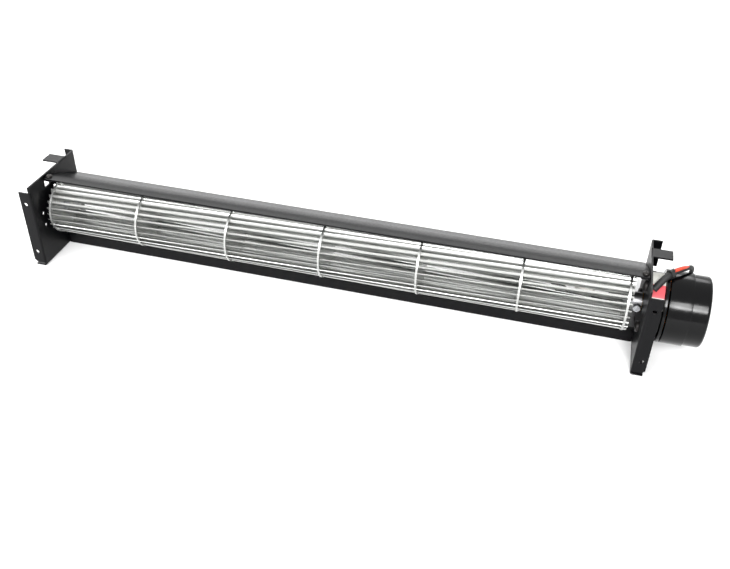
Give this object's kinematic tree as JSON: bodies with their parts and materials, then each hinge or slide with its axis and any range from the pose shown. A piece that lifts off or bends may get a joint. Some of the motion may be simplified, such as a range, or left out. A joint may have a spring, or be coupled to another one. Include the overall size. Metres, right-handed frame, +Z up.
{
  "type": "cross_flow_fan",
  "caption": "Cross flow fan with a long twisted-blade aluminium impeller between black sheet metal end plates, driven by a round external rotor motor with a short lead.",
  "frame": {"origin": "middle of the whole fan's outline on the ground plane, lead left out; the fan stands on its end plates' feet", "axes": "+X along the impeller's axis toward the motor, +Y to the back where the air leaves, +Z up"},
  "size_m": [0.3496, 0.0877, 0.0485],
  "materials": {
    "impeller_aluminium": "satin rolled aluminium sheet",
    "black_coated_sheet": "black semi-gloss coating on sheet steel",
    "motor_black": "black semi-gloss coating on drawn steel",
    "black_rubber": "matt black rubber",
    "bearing_brass": "oil-filled sintered bronze",
    "laminated_steel": "stack of thin steel sheets",
    "copper_winding": "enamelled copper wire",
    "red_film": "translucent red insulating film",
    "lead_sleeve": "black woven sleeve over thin wires",
    "white_nylon": "white moulded nylon",
    "black_nylon": "black moulded nylon",
    "shaft_steel": "ground steel",
    "hub_zinc": "turned light metal"
  },
  "bodies": {
    "housing": {"left_end_plate": "black_coated_sheet", "right_end_plate": "black_coated_sheet", "top_guide_plate": "black_coated_sheet", "bottom_guide_plate": "black_coated_sheet", "bearing_cushion": "black_rubber", "idle_bush": "bearing_brass", "motor_base": "motor_black", "motor_bearing": "bearing_brass", "stator_core": "laminated_steel", "stator_coils": "copper_winding", "insulation_film": "red_film", "lead": "lead_sleeve", "lead_coil": "lead_sleeve", "lead_connector": "white_nylon", "lead_tie": "black_nylon"},
    "rotor": {"end_discs": "impeller_aluminium", "inner_discs": "impeller_aluminium", "blade_01": "impeller_aluminium", "blade_02": "impeller_aluminium", "blade_03": "impeller_aluminium", "blade_04": "impeller_aluminium", "blade_05": "impeller_aluminium", "blade_06": "impeller_aluminium", "blade_07": "impeller_aluminium", "blade_08": "impeller_aluminium", "blade_09": "impeller_aluminium", "blade_10": "impeller_aluminium", "blade_11": "impeller_aluminium", "blade_12": "impeller_aluminium", "blade_13": "impeller_aluminium", "blade_14": "impeller_aluminium", "blade_15": "impeller_aluminium", "blade_16": "impeller_aluminium", "blade_17": "impeller_aluminium", "blade_18": "impeller_aluminium", "blade_19": "impeller_aluminium", "blade_20": "impeller_aluminium", "blade_21": "impeller_aluminium", "blade_22": "impeller_aluminium", "blade_23": "impeller_aluminium", "blade_24": "impeller_aluminium", "blade_25": "impeller_aluminium", "blade_26": "impeller_aluminium", "idle_shaft": "shaft_steel", "drive_hub": "hub_zinc", "hub_screw": "shaft_steel", "drive_shaft": "shaft_steel", "rotor_can": "motor_black"}
  },
  "joints": [
    {"name": "impeller_spin", "type": "hinge", "parent": "housing", "child": "rotor", "pos_m": [0, 0, 0.0268], "axis": [1, 0, 0], "continuous": true}
  ]
}
